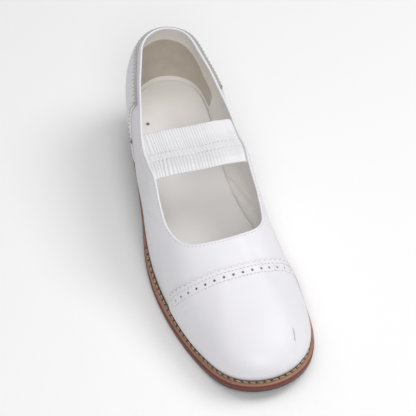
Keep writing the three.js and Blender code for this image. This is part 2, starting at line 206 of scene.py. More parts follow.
def step_up(value, low, high):
    """0 under low, 1 over high, and a soft rise between."""
    k = np.clip((value - low) / (high - low), 0, 1)
    return k * k * (3 - 2 * k)


def to_row(points):
    """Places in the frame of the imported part, in metres, from (along, across, height) in millimetres."""
    along, across, height = np.moveaxis(points.reshape(-1, 3), -1, 0)
    return (np.stack([across - MIDDLE_ACROSS, MIDDLE_ALONG - along, height], -1) / 1000).tolist()


def put(name, data):
    """A new object of the scene."""
    made = bpy.data.objects.new(name, data)
    bpy.context.scene.collection.objects.link(made)
    return made


def to_piece(name, mesh, weld=False):
    """A piece of the scene from a mesh, with faces that look out and are shaded smooth."""
    work = bmesh.new()
    work.from_mesh(mesh)
    if weld:
        bmesh.ops.remove_doubles(work, verts=work.verts, dist=2e-6)
        bmesh.ops.dissolve_degenerate(work, edges=work.edges, dist=1e-7)
    bmesh.ops.recalc_face_normals(work, faces=work.faces)
    for face in work.faces:
        face.smooth = True
    work.to_mesh(mesh)
    work.free()
    return put(name, mesh)


def loft(name, loops, finishes, ring=False, finish_of=None, joins=None, **marks):
    """A piece through equal loops of points, closed at both ends unless it is a ring. A loop goes over
    the piece and back under it. Where fewer points lie below than above, joins numbers the upper point
    over each lower one. marks are numbers at the points that the finishes read."""
    count, size = loops.shape[:2]
    number = np.arange(count * size).reshape(count, size)
    here, there = (number, np.roll(number, -1, 0)) if ring else (number[:-1], number[1:])
    faces = np.stack([here, np.roll(here, -1, 1), np.roll(there, -1, 1), there], -1)
    column = np.broadcast_to(np.arange(size), here.shape).reshape(-1)
    faces = faces.reshape(-1, 4).tolist()
    if not ring:
        joins = np.arange(size // 2) if joins is None else joins
        for row, way in ((number[0], 1), (number[-1], -1)):
            over, under = row[:size - len(joins)].tolist(), row[::-1][:len(joins)].tolist()
            for k in range(len(joins) - 1):
                faces.append([*over[joins[k]:joins[k + 1] + 1][::-1], under[k], under[k + 1]][::way])
    mesh = bpy.data.meshes.new(name)
    mesh.from_pydata(to_row(loops), [], faces)
    for label, values in marks.items():
        layer = mesh.attributes.new(label, "FLOAT", "POINT")
        values = np.broadcast_to(values, loops.shape[:2]).astype(np.float32)
        layer.data.foreach_set("value", values.reshape(-1))
    for finish in finishes:
        mesh.materials.append(finish)
    if finish_of is not None:
        chosen = np.zeros(len(faces), np.int32)
        chosen[:len(column)] = finish_of[column]
        mesh.polygons.foreach_set("material_index", chosen)
    return to_piece(name, mesh, weld=True)


def fix(piece, slot, *nodes):
    """The whole shoe is one rigid body, so every piece rides on it."""
    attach(piece, "root")
    if nodes:
        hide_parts(*nodes)
    return piece


def plate(name, finishes, out, top, bottom, roundness, rungs=160, steps=24, until=None):
    """A flat piece inside an offset of the feather line, with rounded edges. Rungs cross it from the inner
    to the outer side, closer together at the heel and the toe. until cuts it off along the foot."""
    ends = np.array([TOE, TOE - 1.0])
    if until is not None:
        low, high = np.zeros(2), ends.copy()
        for _ in range(40):
            middle = (low + high) / 2
            short = edge(middle, out(middle, 0.5))[:, 0] < until
            low, high = np.where(short, middle, low), np.where(short, high, middle)
        ends = low
    share = np.linspace(0, 1, rungs + 1)
    if until is None:
        share = mix(share, eased(rungs + 1), 0.35)
    turn = np.linspace(0, math.pi / 2, 5)

    def side(end, height, sign):
        t = (ends[end] * share)[:, None]
        inset = roundness * (1 - np.cos(turn))
        level = 1.0 if sign > 0 else 0.0
        plan = edge(t + 0 * turn, out(t, level) - inset)
        z = height(plan[..., 0]) - sign * roundness * (1 - np.sin(turn))
        return np.concatenate([plan, z[..., None]], -1)

    halves = []
    for height, sign in ((top, 1), (bottom, -1)):
        inner, outer = side(0, height, sign), side(1, height, sign)
        k = np.linspace(0, 1, steps + 1)[1:-1, None]
        plan = mix(inner[:, -1:, :2], outer[:, -1:, :2], k)
        flat = np.concatenate([plan, height(plan[..., 0])[..., None]], -1)
        halves.append(np.concatenate([inner, flat, outer[:, ::-1]], 1))
    loops = np.concatenate([halves[0], halves[1][:, ::-1]], 1)
    level = np.concatenate([np.ones(halves[0].shape[1]), np.zeros(halves[1].shape[1])])
    return loft(name, loops, finishes, level=level)


def linear(colour):
    """A linear colour from sRGB hex."""
    parts = [int(colour[i:i + 2], 16) / 255 for i in (1, 3, 5)]
    return (*[c / 12.92 if c <= 0.04045 else ((c + 0.055) / 1.055) ** 2.4 for c in parts], 1.0)


def add(tree, kind, inputs=None, **settings):
    """Adds a node with its settings. inputs gives sockets a value, or another node's output to link."""
    made = tree.nodes.new(kind)
    for name, value in settings.items():
        setattr(made, name, value)
    for socket, value in (inputs or {}).items():
        if isinstance(value, bpy.types.NodeSocket):
            tree.links.new(value, made.inputs[socket])
        else:
            made.inputs[socket].default_value = value
    return made


def new_finish(name, roughness, ior=1.5):
    """A finish with its nodes, and the place on the piece in metres."""
    finish = bpy.data.materials.new(name)
    finish.use_nodes = True
    shader = finish.node_tree.nodes["Principled BSDF"]
    shader.inputs["Roughness"].default_value = roughness
    shader.inputs["IOR"].default_value = ior
    place = add(finish.node_tree, "ShaderNodeTexCoord").outputs["Object"]
    return finish, finish.node_tree, shader, place


def clouds(tree, place, size, detail, roughness=0.5):
    """Soft noise, with its largest clouds of a size in metres."""
    return add(tree, "ShaderNodeTexNoise", {
        "Vector": place, "Scale": 1 / size, "Detail": detail, "Roughness": roughness}).outputs["Fac"]


def pores(tree, place, size):
    """Cells of a size in metres, as in the grain of leather."""
    return add(tree, "ShaderNodeTexVoronoi", {"Vector": place, "Scale": 1 / size}).outputs["Distance"]


def mark(tree, name):
    """The numbers that a piece carries at its points."""
    return add(tree, "ShaderNodeAttribute", attribute_name=name).outputs["Fac"]


def ramp(tree, value, low, high, first=0.0, last=1.0):
    """Goes from one number to another while a value goes from low to high."""
    inputs = {"Value": value, "From Min": low, "From Max": high, "To Min": first, "To Max": last}
    return add(tree, "ShaderNodeMapRange", inputs).outputs["Result"]


def tint(tree, share, *colours):
    """Goes from one colour to another, each given as sRGB hex or as another node's output."""
    first, second = (linear(colour) if isinstance(colour, str) else colour for colour in colours)
    return add(tree, "ShaderNodeMixRGB", {"Fac": share, "Color1": first, "Color2": second}).outputs["Color"]


def coat(finish, colour, heights, strength, depth, under=None):
    """Gives a finish its colour, and a relief of heights whose depth is in metres."""
    shader = finish.node_tree.nodes["Principled BSDF"]
    inputs = {"Height": heights, "Strength": strength, "Distance": depth}
    if under is not None:
        inputs["Normal"] = under
    bump = add(finish.node_tree, "ShaderNodeBump", inputs)
    finish.node_tree.links.new(colour, shader.inputs["Base Color"])
    finish.node_tree.links.new(bump.outputs["Normal"], shader.inputs["Normal"])
    return finish


def sock_leather():
    """Cream pigskin lining leather, drum dyed and unpolished: matte, with faint cloudy patches and a fine
    grain of pores 0.7 mm apart."""
    finish, tree, _, place = new_finish("sock_leather", 0.62)
    cream = tint(tree, clouds(tree, place, 0.022, 3.0), "#f2f0ee", "#faf8f6")
    # One small brown mark, as if a drop had dried on the sock
    apart = add(tree, "ShaderNodeVectorMath", {0: place, 1: SOCK_SPOT}, operation="DISTANCE")
    spot = ramp(tree, apart.outputs["Value"], *SPOT_EDGE, 1.0, 0.0)
    return coat(finish, tint(tree, spot, cream, "#6b4a2a"), pores(tree, place, 0.0007), 0.12, 0.0002)


SOCK_SPOT = (-0.0159, 0.0862, 0.0316)
SPOT_EDGE = (0.0007, 0.0016)


def sock_height(along):
    return welt_top(along) + SOCK_RISE


fix(plate(
    "sock", [sock_leather()],
    out=lambda t, level: 0 * t - (WALL + GAP / 2),
    top=sock_height,
    bottom=lambda along: outsole_top(along) + GAP,
    roundness=0.8,
), "sock_leather", "insole")


# Upper: vamp and quarters of smooth white calf, pulled over the last, with a cream leather lining. The
# topline is a thin folded edge with one row of stitching close below it.
TOPLINE = table(
    "along height",
    (0, 90),
    (30, 86.0),
    (50, 82.3),
    (70, 77.9),
    (85, 73.0),
    (100, 68.3),
    (118, 69.6),
    (135, 60.5),
    (150, 51.0),
    (175, 44.1),
)
THROAT_ALONG, CORNER_IN, CORNER_OUT = 175.6, 8.1, 7.6
SPINE_FROM, SPINE_TO, SPINE_SOFTNESS = 34, 150, 6
TOPLINE_STITCH = 1.5
RIM_RADIUS = 0.7
OUTSIDE_ROWS, INSIDE_ROWS = 44, 66


def spine_at(t):
    """Where the form would close over the middle of the foot, as a place in plan."""
    def soft(value):
        return SPINE_SOFTNESS * np.log1p(np.exp(value / SPINE_SOFTNESS))

    along = SPINE_FROM + soft(SPINE_TO - soft(SPINE_TO - feather(t)[..., 0]) - SPINE_FROM)
    return np.stack([along, read(LAST, "spine", along)], -1)


def form(t, rise):
    """The outside of the upper. rise is -1 at the feather line and 0 on the widest line, and it grows to a
    quarter turn at the ridge."""
    t, rise = np.broadcast_arrays(np.asarray(t, float), np.asarray(rise, float))
    start, out = feather(t), outward(t)
    bulge = both_sides(LAST, "bulge_in", "bulge_out", t)
    belly = both_sides(LAST, "belly_in", "belly_out", t)
    full = both_sides(LAST, "full_in", "full_out", t)
    low = welt_top(start[..., 0]) + belly
    under_plan = start + out * (bulge * (1 - rise ** 2))[..., None]
    spine = spine_at(t)
    share = np.cos(np.clip(rise, 0, math.pi / 2)) ** (2 / full)
    over_plan = mix(spine, start + out * bulge[..., None], share[..., None])
    over_height = low + (read(LAST, "ridge", over_plan[..., 0]) - low) * np.sin(rise)
    under = rise < 0
    plan = np.where(under[..., None], under_plan, over_plan)
    height = np.where(under, low + belly * rise, over_height)
    return np.concatenate([plan, height[..., None]], -1)


def slopes(t, rise):
    """How the form moves with t and with rise."""
    return (form(t + 1e-4, rise) - form(t - 1e-4, rise)) / 2e-4, (
        form(t, rise + 1e-3) - form(t, rise - 1e-3)) / 2e-3


def normal_at(t, rise):
    """The way out of the form. It lies level at the feather line, so that walls meet the sole squarely."""
    with_t, with_rise = slopes(t, rise)
    normal = unit(np.cross(with_rise, with_t))
    normal[..., 2] *= np.clip((rise + 1) / 0.3, 0, 1)
    return unit(normal)


def skin(t, rise, out):
    """A point of the form, moved out along its normal."""
    t, rise, out = np.broadcast_arrays(t, rise, out)
    return form(t, rise) + normal_at(t, rise) * out[..., None]


def first_rise(t, start, test):
    """The first rise along each meridian at which a test turns positive."""
    steps = np.arange(start, 1.56, 0.02)
    met = test(form(t[:, None], steps)) > 0
    index = np.where(met.any(1), met.argmax(1), len(steps) - 1)
    low, high = steps[np.maximum(index - 1, 0)], steps[index]
    for _ in range(20):
        middle = (low + high) / 2
        positive = test(form(t, middle)) > 0
        low, high = np.where(positive, low, middle), np.where(positive, middle, high)
    return low


def crossing(low, high, rise, test):
    """The t between two others at which the form crosses a line."""
    for _ in range(40):
        middle = (low + high) / 2
        if test(form(middle, rise)) < 0:
            low = middle
        else:
            high = middle
    return high


def opening(point):
    """Positive inside the opening that the topline borders."""
    inner = 1 / (1 + np.exp(-point[..., 1] / 6))
    corner = mix(CORNER_OUT, CORNER_IN, inner)
    over = point[..., 2] - read(TOPLINE, "height", point[..., 0])
    value = over * (THROAT_ALONG - point[..., 0]) - corner ** 2
    return np.where(point[..., 0] >= THROAT_ALONG, -1, value)


def topline_rise(t):
    return first_rise(t, 0, opening)


def lengths_of(points):
    steps = np.linalg.norm(np.diff(points, axis=-2), axis=-1)
    return np.concatenate([0 * steps[..., :1], np.cumsum(steps, -1)], -1)


def along_line(points, run, at):
    """The points of a line at places along it."""
    return np.stack([np.interp(at, run, points[:, k]) for k in range(points.shape[1])], -1)


def spread_columns(count):
    """Columns that are evenly spread, counting both the feather line and the topline."""
    t = np.linspace(0, 1, 721)
    run = lengths_of(form(t, -1.0 + 0 * t)) + lengths_of(form(t, topline_rise(t)))
    return np.interp(np.arange(count) * run[-1] / count, run, t)


def rows_between(t, top, bottom, near, count):
    """Rises of rows that lie near millimetres under the top, and then evenly down to the bottom."""
    trial = mix(top[:, None], bottom, np.linspace(0, 1, 161))
    run = lengths_of(form(t[:, None], trial))
    rises = []
    for i in range(len(t)):
        far = np.linspace(near[-1], run[i, -1], count + 1)[1:]
        rises.append(np.interp(np.concatenate([near, far]), run[i], trial[i]))
    return np.array(rises)


def nearest(points, line):
    """Distance from each point to a dense line, and the place on the line."""
    flat = points.reshape(-1, 3)
    best = np.full(len(flat), 1e9)
    where = np.zeros(len(flat), int)
    for first in range(0, len(flat), 4000):
        apart = ((flat[first:first + 4000, None] - line[None]) ** 2).sum(-1)
        where[first:first + 4000] = apart.argmin(1)
        best[first:first + 4000] = np.sqrt(apart.min(1))
    return best.reshape(points.shape[:-1]), where.reshape(points.shape[:-1])


def smooth_line(knots, steps):
    """A centripetal curve through knots, with evenly spaced points."""
    knots = np.concatenate([[2 * knots[0] - knots[1]], knots, [2 * knots[-1] - knots[-2]]])
    stops = np.concatenate([[0], np.cumsum(np.linalg.norm(np.diff(knots, axis=0), axis=1) ** 0.5)])
    points = []
    for i in range(1, len(knots) - 2):
        at = np.linspace(stops[i], stops[i + 1], 40)[:, None]

        def blend(a, b, first, second):
            return ((stops[b] - at) * first + (at - stops[a]) * second) / (stops[b] - stops[a])

        lines = [blend(i + k, i + k + 1, knots[i + k], knots[i + k + 1]) for k in (-1, 0, 1)]
        pairs = [blend(i - 1, i + 1, lines[0], lines[1]), blend(i, i + 2, lines[1], lines[2])]
        points.append(blend(i, i + 1, pairs[0], pairs[1])[:-1])
    points = np.concatenate([*points, knots[-2:-1]])
    run = lengths_of(points)
    return along_line(points, run, np.linspace(0, run[-1], steps + 1))


def fold(points, line, depth, width):
    """How deep a soft fold along a line of (along, across, height) places goes at each point, with a low
    ridge on both sides. It fades out at both ends of the line."""
    steps = 80
    apart, where = nearest(points, smooth_line(np.array(line, float), steps))
    ridge = 0.45 * np.exp(-((apart - 2.2 * width) / width) ** 2)
    fade = np.sin(math.pi * np.clip(where / steps, 0.02, 0.98)) ** 0.6
    return depth * fade * (np.exp(-(apart / width) ** 2) - ridge)


def white_calf():
    """Full-grain calf with a white pigment finish, glazed: a soft sheen and a faint grain 0.8 mm across.
    One mark makes it darker in uneven smudges just over the welt. Another darkens punched holes and cut
    edges with painted shade over the raw leather that shows there, and marks a real scratch."""
    finish, tree, shader, place = new_finish("white_calf", 0.42)
    smudges = clouds(tree, place, 0.006, 6.0, 0.7)
    tree.links.new(ramp(tree, smudges, 0.0, 1.0, 0.36, 0.5), shader.inputs["Roughness"])
    white = tint(tree, clouds(tree, place, 0.035, 4.0), "#e6e4e9", "#edecf0")
    # Darker in uneven smudges over the last few millimetres above the welt
    darkening_share = add(tree, "ShaderNodeMath", {0: mark(tree, "soil"), 1: smudges}, operation="MULTIPLY")
    soiled = tint(tree, darkening_share.outputs["Value"], white, "#a89c90")
    # Holes and cut edges get painted shade over their raw leather; a scratch gets the same colour as a real
    # mark
    holed = tint(tree, mark(tree, "pricked"), soiled, "#6f625a")
    grain = add(tree, "ShaderNodeBump", {
        "Height": pores(tree, place, 0.0008), "Strength": 0.08, "Distance": 0.0001})
    return coat(finish, holed, clouds(tree, place, 0.009, 2.0), 0.25, 0.0003, grain.outputs["Normal"])


def lining_leather():
    """Cream lining leather, dyed and unpolished: matte, with soft cloudy patches and pores 0.9 mm apart."""
    finish, tree, _, place = new_finish("lining_leather", 0.65)
    cream = tint(tree, clouds(tree, place, 0.018, 4.0), "#f4f0ec", "#faf8f5")
    return coat(finish, cream, pores(tree, place, 0.0009), 0.12, 0.0002)


def soil_near_sole(points):
    """How much darker the calf is drawn in the last few millimetres over the welt."""
    over = points[..., 2] - welt_top(points[..., 0])
    return 0.9 * (1 - step_up(over, 0.0, 5.0))


# Folds of the lining at the waist and of the quarters beside the throat: each is its places, depth, width
LINING_FOLDS = (
    (((90.8, 21.2, 21.5), (102.2, 24.2, 19.6), (111.2, 27.4, 18.2), (122.1, 31.5, 20.1)), 0.8, 1.0),
    (((92.7, 21.9, 21.6), (102.8, 25.6, 20.6), (113.1, 29.0, 18.8), (125.9, 31.5, 23.3)), 0.8, 1.1),
)

QUARTER_FOLDS = (
    (((110.4, -37.1, 56.7), (118.3, -37.2, 58.7), (126.1, -36.3, 60.5)), 0.40, 1.6),
    (((117.6, -38.3, 53.9), (120.6, -38.1, 54.8), (127.5, -37.3, 57.2), (135.4, -35.4, 58.8)), 0.50, 1.4),
    (((120.3, -40.0, 42.9), (123.3, -40.0, 44.2), (130.7, -39.7, 47.2), (137.6, -38.4, 50.1),
      (145.5, -36.0, 52.1)), 0.50, 1.5),
)


def upper_foot(t, out):
    """The lowest row of the wall, on the outsole."""
    plan = edge(t, out + 0 * t)
    return np.concatenate([plan, outsole_top(feather(t)[:, :1]) + 0.2], -1)[:, None]


def upper(columns=620):
    """The wall goes up outside, over the rim and down inside. It is thin at the rim, where the leather is
    skived and folded, and has its full thickness 8 mm below."""
    t = spread_columns(columns)
    top = topline_rise(t)
    near = np.array([RIM_RADIUS, 0.9, 1.1, 1.3, 1.5, 1.7, 1.9, 2.2, 3.0, 4.2])
    rises = rows_between(t, top, -1.0, near, OUTSIDE_ROWS)
    depth = np.concatenate([near, np.full(OUTSIDE_ROWS, 99.0)])
    outside_out = -0.10 * np.exp(-((depth - TOPLINE_STITCH) / 0.3) ** 2) + 0 * rises
    for line, deep, width in QUARTER_FOLDS:
        outside_out = outside_out - fold(form(t[:, None], rises), line, deep, width)
    outside = skin(t[:, None], rises, outside_out)
    turn = np.linspace(0, math.pi, 9)[1:-1]
    trial = mix(top[:, None], -1.0, np.linspace(0, 1, 161))
    run = lengths_of(form(t[:, None], trial))
    under_rim = RIM_RADIUS * (1 - np.sin(turn))
    rim_rises = np.array([np.interp(under_rim, run[i], trial[i]) for i in range(columns)])
    rim = skin(t[:, None], rim_rises, (RIM_RADIUS * (np.cos(turn) - 1))[None])
    inside_rises = rows_between(t, top, -1.0, np.array([RIM_RADIUS, 2.2, 3.4]), INSIDE_ROWS)
    inside_depth = lengths_of(form(t[:, None], inside_rises))
    inside_out = -mix(2 * RIM_RADIUS, WALL, step_up(inside_depth, 0.0, 8.0))
    for line, deep, width in LINING_FOLDS:
        inside_out = inside_out + fold(skin(t[:, None], inside_rises, -WALL), line, deep, width)
    inside = skin(t[:, None], inside_rises, inside_out)
    loops = np.concatenate([
        upper_foot(t, 0), outside[:, ::-1], rim, inside, upper_foot(t, -WALL)], 1)
    calf_points = 1 + outside.shape[1] + 5
    finish_of = np.where(np.arange(loops.shape[1]) < calf_points, 0, 1)
    return loft("upper_leather", loops, [white_calf(), lining_leather()], ring=True,
                finish_of=finish_of, soil=soil_near_sole(loops), pricked=0.0)


fix(upper(), "upper_leather", "upper")


# Heel grip: a patch of thin grey-tan suede glued on the lining round the heel, nap side out, so that the
# shoe doesn't slip. It reaches high at the back and is lower along the sides.
HEEL_GRIP = table(
    "along height",
    (0, 74.0),
    (8, 68.0),
    (16, 57.0),
    (24, 49.0),
    (31, 47.6),
    (38.5, 46.5),
)
GRIP_FRONT, GRIP_CORNER, GRIP_THICKNESS = 38.5, 4.5, 0.5


def heel_suede():
    """Split leather with its nap raised: no shine, grey tan, lighter where the nap lies another way."""
    finish, tree, shader, place = new_finish("heel_suede", 0.95, 1.45)
    shader.inputs["Sheen Weight"].default_value = 0.3
    brushed = tint(tree, clouds(tree, place, 0.007, 5.0), "#bcb1a3", "#d0c7ba")
    return coat(finish, brushed, clouds(tree, place, 0.0008, 3.0), 0.4, 0.0003)


def heel_grip(columns=260, rows=60):
    """A thin sheet that stands off the lining and is pressed into it along its rim and its two ends."""
    def before_front(point):
        return point[..., 0] - GRIP_FRONT

    def above(point):
        into = np.maximum(GRIP_CORNER - (GRIP_FRONT - point[..., 0]), 0)
        drop = GRIP_CORNER - np.sqrt(np.maximum(GRIP_CORNER ** 2 - into ** 2, 0))
        return point[..., 2] - read(HEEL_GRIP, "height", point[..., 0]) + drop

    front = crossing(0.0, TOE, 0.0, before_front), crossing(1.0, TOE, 0.0, before_front) - 1
    t = mix(front[1], front[0], eased(columns))
    rim = first_rise(t, -0.6, above)
    rise = mix(-0.75, rim[:, None], np.linspace(0, 1, rows))
    from_end = np.minimum(np.arange(columns), np.arange(columns)[::-1])
    thin = np.minimum(np.linspace(1, 0, rows) * 12, 1) * np.minimum(from_end / 3, 1)[:, None]
    over = skin(t[:, None], rise, -WALL - 0.1 - GRIP_THICKNESS * np.sqrt(thin))
    few = np.linspace(0, rows - 1, 13).astype(int)
    under = skin(t[:, None], rise[:, few], -WALL + 0.3)
    return loft("heel_grip", np.concatenate([over, under[:, ::-1]], 1), [heel_suede()], joins=few)


fix(heel_grip(), "sock_leather")


def inward(t, rise, distance, closed=False, steps=4):
    """Moves a line on the form sideways over its surface, square to itself and to its left."""
    for _ in range(steps):
        line = form(t, rise)
        if closed:
            heading = np.roll(line, -1, 0) - np.roll(line, 1, 0)
        else:
            heading = np.gradient(line, axis=0)
        way = np.cross(normal_at(t, rise), unit(heading))
        with_t, with_rise = slopes(t, rise)
        a, b, c = (with_t * with_t).sum(-1), (with_t * with_rise).sum(-1), (with_rise * with_rise).sum(-1)
        e, f = (way * with_t).sum(-1), (way * with_rise).sum(-1)
        share = distance / steps / (a * c - b * b)
        t, rise = t + share * (c * e - b * f), rise + share * (a * f - b * e)
    return t, rise


def sewing_thread(name, light, dark):
    """Waxed sewing thread of three strands: matte, with its twist as fine slanting ridges and painted shade
    in the grooves between them.
    """
    finish, tree, _, place = new_finish(name, 0.7)
    strands = add(tree, "ShaderNodeTexWave", {
        "Vector": place, "Scale": 1 / 0.0032, "Distortion": 2.0, "Detail": 1.0},
        bands_direction="DIAGONAL").outputs["Fac"]
    # The colour follows the ridges: painted shade in the grooves between the strands
    return coat(finish, tint(tree, strands, dark, light), strands, 0.4, 0.0001)


def stitches(name, line, normals, pitch, length, radius, finish, twist=0.0, slant=0.0):
    """One row of thread, as the stitches that show between its needle holes. line and normals are dense
    points, pitch runs from hole to hole, and length is what shows of it."""
    run = lengths_of(line)
    count = int(run[-1] // pitch)
    start = (run[-1] - count * pitch) / 2
    along = np.linspace(-1, 1, 7)
    at = start + (np.arange(count) + 0.5)[:, None] * pitch + along * length / 2
    centre, up = along_line(line, run, at), along_line(normals, run, at)
    heading = unit(np.gradient(centre, axis=1))
    side = unit(np.cross(heading, up))
    up = np.cross(side, heading)
    centre = centre + side * (slant * along)[:, None] + up * (radius * (0.35 - 0.8 * along ** 4))[:, None]
    turn = np.linspace(0, 2 * math.pi, 9)[:-1]
    body = radius * np.sqrt(1 - 0.8 * along ** 4)
    lobes = 1 + twist * np.cos(2 * turn[None] + 3 * along[:, None])
    reach = body[:, None] * lobes
    points = (centre[:, :, None] + up[:, :, None] * (reach * np.sin(turn))[None, ..., None]
              + side[:, :, None] * (reach * np.cos(turn))[None, ..., None])
    rings, corners = len(along), len(turn)
    number = np.arange(count * rings * corners).reshape(count, rings, corners)
    here, there = number[:, :-1], number[:, 1:]
    quads = np.stack([here, np.roll(here, -1, 2), np.roll(there, -1, 2), there], -1).reshape(-1, 4)
    ends = np.concatenate([number[:, 0, ::-1], number[:, -1]])
    mesh = bpy.data.meshes.new(name)
    mesh.from_pydata(to_row(points), [], quads.tolist() + ends.tolist())
    mesh.materials.append(finish)
    return to_piece(name, mesh)


GREY_THREAD = sewing_thread("grey_white_thread", "#dad8db", "#b6b4b7")

rim_t = np.linspace(0, 1, 1441)[:-1]
rim_rise = topline_rise(rim_t)
rim_line = inward(rim_t, rim_rise, TOPLINE_STITCH, closed=True)
fix(stitches(
    "topline_thread", skin(*rim_line, -0.15), normal_at(*rim_line),
    pitch=2.4, length=1.7, radius=0.19, finish=GREY_THREAD,
), "upper_leather")


# Toe cap: a second layer of the same calf over the forepart. Its rear edge is pinked, and a line of
# punched holes runs between its two rows of stitching.
OVERLAY_FOOT = -0.93
OVERLAY_OUT = 1.35
CAP_LINE = table(
    "across along",
    (-43, 172.5),
    (-40, 179.0),
    (-36, 182.3),
    (-30, 184.9),
    (-20, 186.2),
    (-6, 186.5),
    (6, 186.0),
    (20, 183.9),
    (30, 182.0),
    (35, 180.0),
    (38, 177.0),
    (41, 172.5),
)
TOOTH_PITCH, TOOTH_DEPTH = 3.7, 1.5
HOLE_PITCH, HOLE_RADIUS, HOLE_DEPTH = 5.95, 0.75, 1.0
CAP_STITCH_ROWS = (2.0, 7.2)
CAP_HOLE_ROW = 4.7


def past_cap_line(point):
    return point[..., 0] - read(CAP_LINE, "along", point[..., 1], by="across")


def overlay(name, t, rise, border, stitch_rows, hole_row, hole_near, folds=()):
    """A sheet of leather on the form, at columns of t and rise from its foot to its rim. border is its
    sewn edge, with the piece on its left. The stitches press it in, and one hole lies by hole_near."""
    base = form(t, rise)
    apart, _ = nearest(base, form(*border)[::3])
    out = OVERLAY_OUT - 0.2 * (1 - step_up(apart, 0.0, 0.5))
    for row in stitch_rows:
        out = out - 0.18 * np.exp(-((apart - row) / 0.35) ** 2)
    for line, depth, width in folds:
        out = out - fold(base, line, depth, width)
    out = out * mix(0.3, 1, step_up(base[..., 2] - welt_top(base[..., 0]), 0.5, 7.0))
    hole_t, hole_rise = inward(*border, hole_row)
    hole_line = form(hole_t, hole_rise)
    run = lengths_of(hole_line)
    first = run[nearest(np.array([hole_near]), hole_line)[1][0]] % HOLE_PITCH
    holes = along_line(np.stack([hole_t, hole_rise], -1), run, np.arange(first, run[-1], HOLE_PITCH))
    far, _ = nearest(base, form(*holes.T))
    punched = 1 - step_up(far, 0.8 * HOLE_RADIUS, 1.15 * HOLE_RADIUS)
    over = skin(t, rise, out - HOLE_DEPTH * punched)
    rows = np.linspace(0, t.shape[1] - 1, 13).astype(int)
    under = skin(t[:, rows], rise[:, rows], 0.08)
    loops = np.concatenate([over, under[:, ::-1]], 1)
    scratch = smooth_line(np.array(SCRATCH, float), 40)
    scratched = 0.8 * (1 - step_up(nearest(over, scratch)[0], 0.15, 0.45))
    # Painted shade in the punched holes, over the raw underlay that shows through them, and the real
    # scratch
    dark = np.maximum(step_up(punched, 0.35, 0.8), scratched)
    # The cut rim is darkened on its top and side: raw leather, with painted shade that draws the shadows of
    # the teeth
    cut_edge_and_painted_shade = np.zeros(under.shape[:2])
    cut_edge_and_painted_shade[:, 0] = 0.45
    dark[:, -1] = 0.7
    return loft(name, loops, [bpy.data.materials["white_calf"]], joins=rows,
                soil=soil_near_sole(loops), pricked=np.concatenate([dark, cut_edge_and_painted_shade], 1))


# A short scratch on the inner side of the toe
SCRATCH = ((230.0, 22.2, 31.4), (234.0, 21.7, 30.1), (237.8, 21.0, 28.6))


def straight_columns(feet, rims, near, count):
    """Columns from feet to rims, with rows close together near millimetres from the rim and then even."""
    trial = np.linspace(1, 0, 161)
    run = lengths_of(form(mix(feet[0][:, None], rims[0][:, None], trial),
                          mix(feet[1][:, None], rims[1][:, None], trial)))
    share = []
    for i in range(len(run)):
        close = near * min(1, run[i, -1] / (2 * near[-1]))
        far = np.linspace(close[-1], run[i, -1], count + 1)[1:]
        share.append(np.interp(np.concatenate([close, far]), run[i], trial))
    share = np.array(share)[:, ::-1]
    return mix(feet[0][:, None], rims[0][:, None], share), mix(feet[1][:, None], rims[1][:, None], share)


def toe_cap(columns=640):
    """Columns of t and rise for the cap, whose rims follow the teeth, and its border without them."""
    start = crossing(0.0, TOE, OVERLAY_FOOT, past_cap_line)
    end = crossing(1.0, TOE, OVERLAY_FOOT, past_cap_line)
    t = mix(start, end, eased(1500))
    line = np.stack([t, first_rise(t, OVERLAY_FOOT, lambda point: -past_cap_line(point))], -1)
    run = lengths_of(form(*line.T))
    at = np.linspace(0, run[-1], columns)
    feet = np.linspace(start, end, columns), np.full(columns, OVERLAY_FOOT)
    tooth = 1 - np.abs(2 * np.mod(at / TOOTH_PITCH, 1) - 1)
    tooth = TOOTH_DEPTH * tooth ** 0.8 * step_up(np.minimum(at, at[-1] - at), 0.0, 3.0)
    toothed = inward(*along_line(line, run, at).T, -tooth, steps=1)
    border = along_line(line, run, np.linspace(0, run[-1], 1200)).T
    return *straight_columns(feet, toothed, np.linspace(0, 9, 48), 46), border


CAP_FOLDS = (
    (((184.5, -41.0, 15.5), (188.4, -40.3, 19.7), (194.5, -36.8, 27.4), (198.5, -32.7, 31.9),
      (202.6, -26.9, 36.2)), 0.42, 1.3),
    (((188.4, -39.3, 22.7), (190.9, -37.9, 27.2), (193.7, -32.7, 34.0), (196.2, -26.3, 38.7)), 0.28, 1.1),
)
cap_t, cap_rise, cap_border = toe_cap()
fix(overlay("toe_cap_leather", cap_t, cap_rise, cap_border, CAP_STITCH_ROWS, CAP_HOLE_ROW,
            hole_near=(191.5, -9.4, 46.1), folds=CAP_FOLDS), "upper_leather", "toe_cap")


def thread_row(name, border, distance, pitch, length, radius, finish):
    """One row of stitching at a distance from an overlay's border."""
    line = inward(*border, distance)
    out = OVERLAY_OUT - 0.15
    return stitches(name, skin(*line, out), normal_at(*line), pitch, length, radius, finish)


for i, row in enumerate(CAP_STITCH_ROWS):
    fix(thread_row(
        f"cap_thread_{i + 1}", cap_border, row, pitch=2.45, length=1.65, radius=0.24, finish=GREY_THREAD,
    ), "upper_leather")


# Heel counter: a piece of the same calf round the back of the heel, sewn on with tan thread along its
# cut edge, with a line of punched holes inside the seam.
COUNTER_UNDER = 4.6
COUNTER_STITCH_ROW, COUNTER_HOLE_ROW = 1.3, 4.6
COUNTER_FRONT = table(
    "height along",
    (28, 70.0),
    (36, 67.5),
    (44, 64.0),
    (49, 61.5),
    (53, 58.2),
    (58, 56.3),
    (62, 55.8),
    (66.5, 57.4),
    (70, 60.0),
    (73, 61.9),
    (76.5, 63.0),
)


